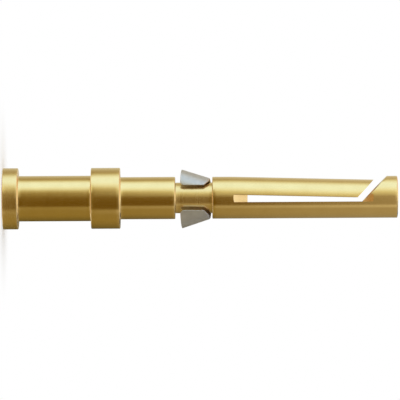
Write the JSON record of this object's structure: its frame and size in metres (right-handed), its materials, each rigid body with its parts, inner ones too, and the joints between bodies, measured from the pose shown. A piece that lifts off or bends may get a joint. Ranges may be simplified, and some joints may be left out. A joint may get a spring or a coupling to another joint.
{
  "type": "crimp socket contact",
  "caption": "Turned gold-plated socket contact with a crimp barrel, collar, sprung tongue and closed entry for a round pin, held in its insulator by a split retention clip.",
  "frame": {"origin": "on the axis, at the end face of the wire-entry flange that the contact stands on", "axes": "+Z along the axis from the wire entry to the socket mouth, -X towards the spring tongue, -Y towards the clip's gap"},
  "size_m": [0.0038, 0.0038, 0.0245],
  "materials": {
    "gold_plating": "satin gold plating over turned copper alloy, with fine lathe marks round the axis",
    "spring_steel": "bright rolled stainless spring sheet"
  },
  "bodies": {
    "root": {"contact_body": "gold_plating", "retention_clip": "spring_steel"}
  },
  "joints": []
}
